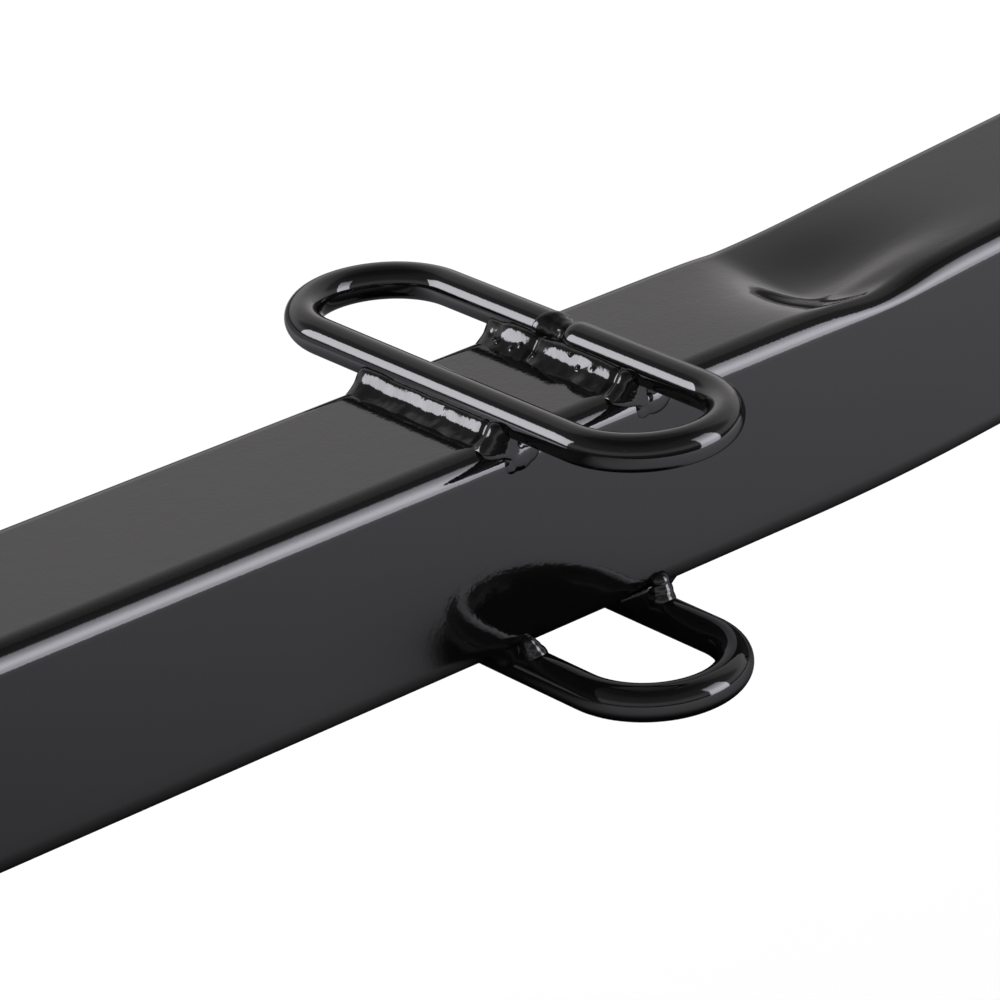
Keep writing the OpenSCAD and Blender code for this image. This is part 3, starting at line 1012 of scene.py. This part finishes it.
def sky():
    """Room painted by direction, with two soft boxes, for the coat to mirror.
    Every ray but a glossy one meets plain white."""
    world = bpy.data.worlds.new("studio")
    bpy.context.scene.world = world
    world.use_nodes = True
    tree = world.node_tree
    tree.nodes.clear()
    link = tree.links.new
    maths = partial(math_node, tree)
    ranged = partial(map_range, tree)

    direction = node(tree, "ShaderNodeTexCoord").outputs["Generated"]
    split = node(tree, "ShaderNodeSeparateXYZ")
    link(direction, split.inputs[0])
    x, y, z = split.outputs
    up = maths("MULTIPLY", maths("ARCSINE", z), 180 / math.pi)
    around = maths("MULTIPLY", maths("ARCTAN2", y, x), 180 / math.pi)
    height = ranged(up, -90, 90, kind="LINEAR")

    def by_height(stops, full):
        return grey_ramp(tree, height, [((deg + 90) / 180, level) for deg, level in stops], full)

    def away(azimuth):
        """Degrees between a direction and an azimuth, either way round."""
        off = maths("ABSOLUTE", maths("SUBTRACT", around, azimuth))
        return maths("MINIMUM", off, maths("SUBTRACT", 360.0, off))

    def scaled(vector, level):
        new = node(tree, "ShaderNodeVectorMath", operation="SCALE")
        if isinstance(vector, tuple):
            new.inputs[0].default_value = vector
        else:
            link(vector, new.inputs[0])
        link(level, new.inputs["Scale"])
        return new.outputs[0]

    def added(a, b):
        new = node(tree, "ShaderNodeVectorMath", operation="ADD")
        link(a, new.inputs[0])
        link(b, new.inputs[1])
        return new.outputs[0]

    low = maths("SUBTRACT", 1.0, ranged(up, *LOW_HEIGHTS, kind="LINEAR"))
    aside = maths("MULTIPLY", ranged(away(LOW_AZIMUTH), *LOW_EDGE), low)
    beyond = maths("MULTIPLY", ranged(away(WALL_AZIMUTH), *WALL_EDGE), ranged(up, *WALL_HEIGHTS))
    room = by_height(ROOM, 1.0)
    for share, dimming in ((aside, LOW_DIMMING), (beyond, WALL_DIMMING)):
        room = maths("MULTIPLY", room, maths("SUBTRACT", 1.0, maths("MULTIPLY", share, dimming)))

    front = maths("MULTIPLY", ranged(away(FRONT_BOX_AZIMUTH), *BOX_EDGE), by_height(FRONT_BOX, FULL_BOX))
    back = maths("MULTIPLY", ranged(away(BACK_BOX_AZIMUTH), *BOX_EDGE), by_height(BACK_BOX, FULL_BOX))
    total = added(scaled(ROOM_TINT, room), added(scaled(FRONT_TINT, front), scaled(BACK_TINT, back)))

    # the even sheen's light, by direction off the photo's side
    azimuth, elevation = math.radians(PHOTO_AZIMUTH), math.radians(PHOTO_ELEVATION)
    toward = node(tree, "ShaderNodeVectorMath", operation="DOT_PRODUCT")
    link(direction, toward.inputs[0])
    toward.inputs[1].default_value = (math.cos(elevation) * math.cos(azimuth),
                                      math.cos(elevation) * math.sin(azimuth), math.sin(elevation))
    halved = ranged(toward.outputs["Value"], -1, 1, kind="LINEAR")
    total = scaled(total, grey_ramp(tree, halved, SHEEN_LIGHT, FULL_SHEEN_LIGHT))

    rays = node(tree, "ShaderNodeLightPath")
    final = node(tree, "ShaderNodeMix", data_type="VECTOR")
    link(rays.outputs["Is Glossy Ray"], final.inputs[0])
    final.inputs[4].default_value = (1, 1, 1)
    link(total, final.inputs[5])
    background = node(tree, "ShaderNodeBackground")
    link(final.outputs[1], background.inputs["Color"])
    out = node(tree, "ShaderNodeOutputWorld")
    link(background.outputs[0], out.inputs["Surface"])


def plane(name, corners):
    """One flat face, with corners in metres."""
    mesh = bpy.data.meshes.new(name)
    mesh.from_pydata(corners, [], [(0, 1, 2, 3)])
    obj = bpy.data.objects.new(name, mesh)
    bpy.context.scene.collection.objects.link(obj)
    return obj


def bare_material(obj, name):
    """Gives the object a new material and returns its empty node tree."""
    mat = bpy.data.materials.new(name)
    mat.use_nodes = True
    mat.node_tree.nodes.clear()
    obj.data.materials.append(mat)
    return mat.node_tree


# The table, in metres: its height and edges, and how the painted light of its glow rises by x and y
TABLE_Z = -0.0365
TABLE_FAR = 3.0
TABLE_FRONT_LEFT = 0.2
TABLE_FRONT_RIGHT = -0.7
TABLE_TINT = (0.98, 0.98, 1.04, 1)
TABLE_LEVEL = 0.328
RISE_BY_X = 1.49
RISE_BY_Y = -1.55
BEHIND_LEVEL = 0.11
BEHIND_RISE = 0.29
BEHIND_MOST = 0.27
FRONT_Y = 0.05
FRONT_RISE = 40.0
TABLE_LEAST = 0.08
TABLE_MOST = 1.7
# Painted shadow of the lower loop: where it fades out, in metres from the loop's middle line, and its
# darkest level
LOOP_SHADOW_EDGE = (0.022, 0.030)
LOOP_SHADOW_LEVEL = 0.02
# Reach of the painted shade that the part casts on the glow
SHADE_REACH = 0.035
# What makes up for the even sheen, as painted light in the glow: the same in front, and more behind the
# part
TABLE_SHEEN = 0.427
SHEEN_AT = -1.0
SHEEN_RISE = 30.0
SHEEN_MOST = 4.0


def table():
    """Pale table close under the part, seen only in its reflections: a glowing sheet whose glow is
    painted light, with painted shade and a painted shadow.
    """
    far = TABLE_FAR
    obj = plane("table", [(-far, TABLE_FRONT_LEFT, TABLE_Z), (far, TABLE_FRONT_RIGHT, TABLE_Z),
                          (far, far, TABLE_Z), (-far, far, TABLE_Z)])
    obj.visible_camera = False
    obj.visible_diffuse = False
    obj.visible_shadow = False
    obj.visible_transmission = False
    tree = bare_material(obj, "table_light")
    link = tree.links.new
    maths = partial(math_node, tree)

    def between(value, lo, hi):
        return maths("MINIMUM", maths("MAXIMUM", value, lo), hi)

    split = node(tree, "ShaderNodeSeparateXYZ")
    link(node(tree, "ShaderNodeTexCoord").outputs["Object"], split.inputs[0])
    x, y = split.outputs["X"], split.outputs["Y"]

    # painted light: the glow is brighter towards +x and dimmer behind the part
    along = maths("MULTIPLY_ADD", x, RISE_BY_X, maths("MULTIPLY_ADD", y, RISE_BY_Y, TABLE_LEVEL))
    behind = maths("MINIMUM", maths("MULTIPLY_ADD", y, BEHIND_RISE, BEHIND_LEVEL), BEHIND_MOST)
    front = maths("MULTIPLY", maths("MAXIMUM", maths("SUBTRACT", FRONT_Y, y), 0.0), FRONT_RISE)
    level = between(maths("MINIMUM", along, maths("ADD", behind, front)), TABLE_LEAST, TABLE_MOST)

    # painted shadow of the lower loop, which nearly stands on the table
    past_bars = maths("MAXIMUM", maths("SUBTRACT", maths("ABSOLUTE", y), BAR_HALF * MM), 0.0)
    aside = maths("SUBTRACT", x, LOOP_X * MM)
    squares = maths("ADD", maths("MULTIPLY", past_bars, past_bars), maths("MULTIPLY", aside, aside))
    reach = maths("SQRT", squares)
    level = maths("MULTIPLY", level, map_range(tree, reach, *LOOP_SHADOW_EDGE, out_lo=LOOP_SHADOW_LEVEL))

    # painted shade: the glow darkens where the part is close above it
    shade = node(tree, "ShaderNodeAmbientOcclusion", samples=8)
    shade.inputs["Distance"].default_value = SHADE_REACH
    level = maths("MULTIPLY", level, maths("POWER", shade.outputs["AO"], 2.0))

    sheen = between(maths("MULTIPLY_ADD", y, SHEEN_RISE, SHEEN_AT), TABLE_SHEEN, SHEEN_MOST)
    level = maths("MULTIPLY", level, sheen)
    glow = node(tree, "ShaderNodeEmission")
    glow.inputs["Color"].default_value = TABLE_TINT
    link(level, glow.inputs["Strength"])
    out = node(tree, "ShaderNodeOutputMaterial")
    link(glow.outputs[0], out.inputs["Surface"])


# The floor, in metres
FLOOR_Z = -0.26
FLOOR_HALF = 6.0
FLOOR_GREY = 0.5
FLOOR_LIFT = 0.54


def floor():
    """Pale floor under the shadow, lifted to white for the camera alone."""
    half = FLOOR_HALF
    obj = plane("floor", [(-half, -half, FLOOR_Z), (half, -half, FLOOR_Z), (half, half, FLOOR_Z),
                          (-half, half, FLOOR_Z)])
    obj.visible_glossy = False
    tree = bare_material(obj, "pale_floor")
    link = tree.links.new
    diffuse = node(tree, "ShaderNodeBsdfDiffuse")
    diffuse.inputs["Color"].default_value = (FLOOR_GREY, FLOOR_GREY, FLOOR_GREY, 1)
    rays = node(tree, "ShaderNodeLightPath")
    glow = node(tree, "ShaderNodeEmission")
    link(math_node(tree, "MULTIPLY", rays.outputs["Is Camera Ray"], FLOOR_LIFT), glow.inputs["Strength"])
    both = node(tree, "ShaderNodeAddShader")
    link(diffuse.outputs[0], both.inputs[0])
    link(glow.outputs[0], both.inputs[1])
    out = node(tree, "ShaderNodeOutputMaterial")
    link(both.outputs[0], out.inputs["Surface"])


def camera():
    """Camera at the photo's place and angle."""
    optics = bpy.data.cameras.new("camera")
    optics.sensor_fit = "HORIZONTAL"
    optics.sensor_width = 36.0
    optics.lens = PHOTO_FOCAL * optics.sensor_width / PHOTO_WIDTH
    optics.clip_start = 0.01
    optics.clip_end = 50.0
    obj = bpy.data.objects.new("camera", optics)
    bpy.context.scene.collection.objects.link(obj)
    obj.matrix_world = (Matrix.Translation(Vector(PHOTO_AT) * MM)
                        @ Matrix.Rotation(math.radians(PHOTO_AZIMUTH + 90), 4, "Z")
                        @ Matrix.Rotation(math.radians(90 - PHOTO_ELEVATION), 4, "X")
                        @ Matrix.Rotation(math.radians(PHOTO_ROLL), 4, "Z"))
    bpy.context.scene.camera = obj


sky()
table()
floor()
camera()
bpy.context.scene.view_settings.view_transform = "Standard"
